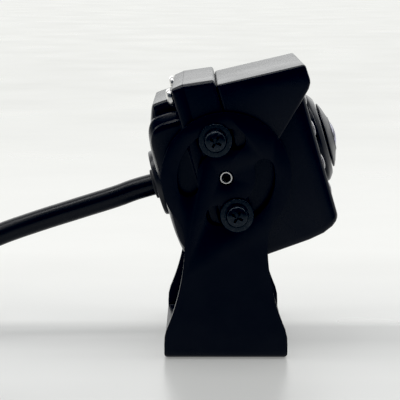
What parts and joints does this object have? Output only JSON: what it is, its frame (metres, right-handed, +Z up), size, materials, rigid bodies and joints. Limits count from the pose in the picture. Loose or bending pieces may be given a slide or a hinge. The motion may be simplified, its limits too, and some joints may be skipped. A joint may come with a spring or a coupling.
{
  "type": "backup camera",
  "caption": "Box-shaped vehicle backup camera with sun visor and infrared lamps, tilting between the slotted arms of a U-bracket, with a coiled lead and a round connector.",
  "frame": {"origin": "centre of the bracket's underside", "axes": "+X the way the lens looks, +Y along the tilt axis, +Z up"},
  "size_m": [0.2083, 0.1232, 0.089],
  "materials": {
    "housing_coat": "black satin powder coat over a die casting",
    "bracket_coat": "black satin powder coat over bent steel sheet",
    "black_steel": "black oxide",
    "stainless_steel": "bright",
    "black_plastic": "fine satin",
    "black_rubber": "matt",
    "cable_jacket": "smooth satin PVC",
    "circuit_board": "solder mask",
    "lens_glass": "coated glass",
    "led_epoxy": "dark clear epoxy",
    "brass": "turned"
  },
  "bodies": {
    "bracket": {"bracket": "bracket_coat", "camera_cable": "cable_jacket", "cable_coil": "cable_jacket", "plug_overmould": "black_rubber", "plug_shell": "stainless_steel", "plug_insert": "black_plastic", "plug_contact": "brass", "plug_seal": "black_rubber"},
    "camera_head": {"front_housing": "housing_coat", "rear_cover": "housing_coat", "visor": "housing_coat", "housing_gasket": "black_rubber", "lens_bezel": "housing_coat", "lens_cap": "black_plastic", "front_glass": "lens_glass", "lens_barrel": "black_plastic", "lens_element_1": "lens_glass", "lens_element_2": "lens_glass", "lens_holder": "black_plastic", "image_sensor": "black_plastic", "sensor_board": "circuit_board", "led_board": "circuit_board", "power_board": "circuit_board", "board_frame": "black_plastic", "board_link": "black_plastic", "lead_socket": "black_plastic", "light_sensor": "led_epoxy", "cable_gland": "black_plastic", "cable_grommet": "black_rubber", "gland_nut": "brass", "inner_lead": "cable_jacket", "lead_clip": "black_plastic", "ir_led_1": "led_epoxy", "ir_led_2": "led_epoxy", "ir_led_3": "led_epoxy", "ir_led_4": "led_epoxy", "ir_led_5": "led_epoxy", "ir_led_6": "led_epoxy", "ir_led_7": "led_epoxy", "ir_led_8": "led_epoxy", "cover_screw_1": "stainless_steel", "tilt_screw_1": "black_steel", "spring_washer_1": "black_steel", "flat_washer_1": "black_steel", "cover_screw_2": "stainless_steel", "tilt_screw_2": "black_steel", "spring_washer_2": "black_steel", "flat_washer_2": "black_steel", "cover_screw_3": "stainless_steel", "tilt_screw_3": "black_steel", "spring_washer_3": "black_steel", "flat_washer_3": "black_steel", "cover_screw_4": "stainless_steel", "tilt_screw_4": "black_steel", "spring_washer_4": "black_steel", "flat_washer_4": "black_steel", "pivot_bush_1": "stainless_steel", "pivot_bush_2": "stainless_steel"}
  },
  "joints": [
    {"name": "tilt", "type": "hinge", "parent": "bracket", "child": "camera_head", "pos_m": [0, 0, 0.0554], "axis": [0, -1, 0], "range_deg": [-30.5, 87.5], "deforming": ["camera_cable"]}
  ]
}
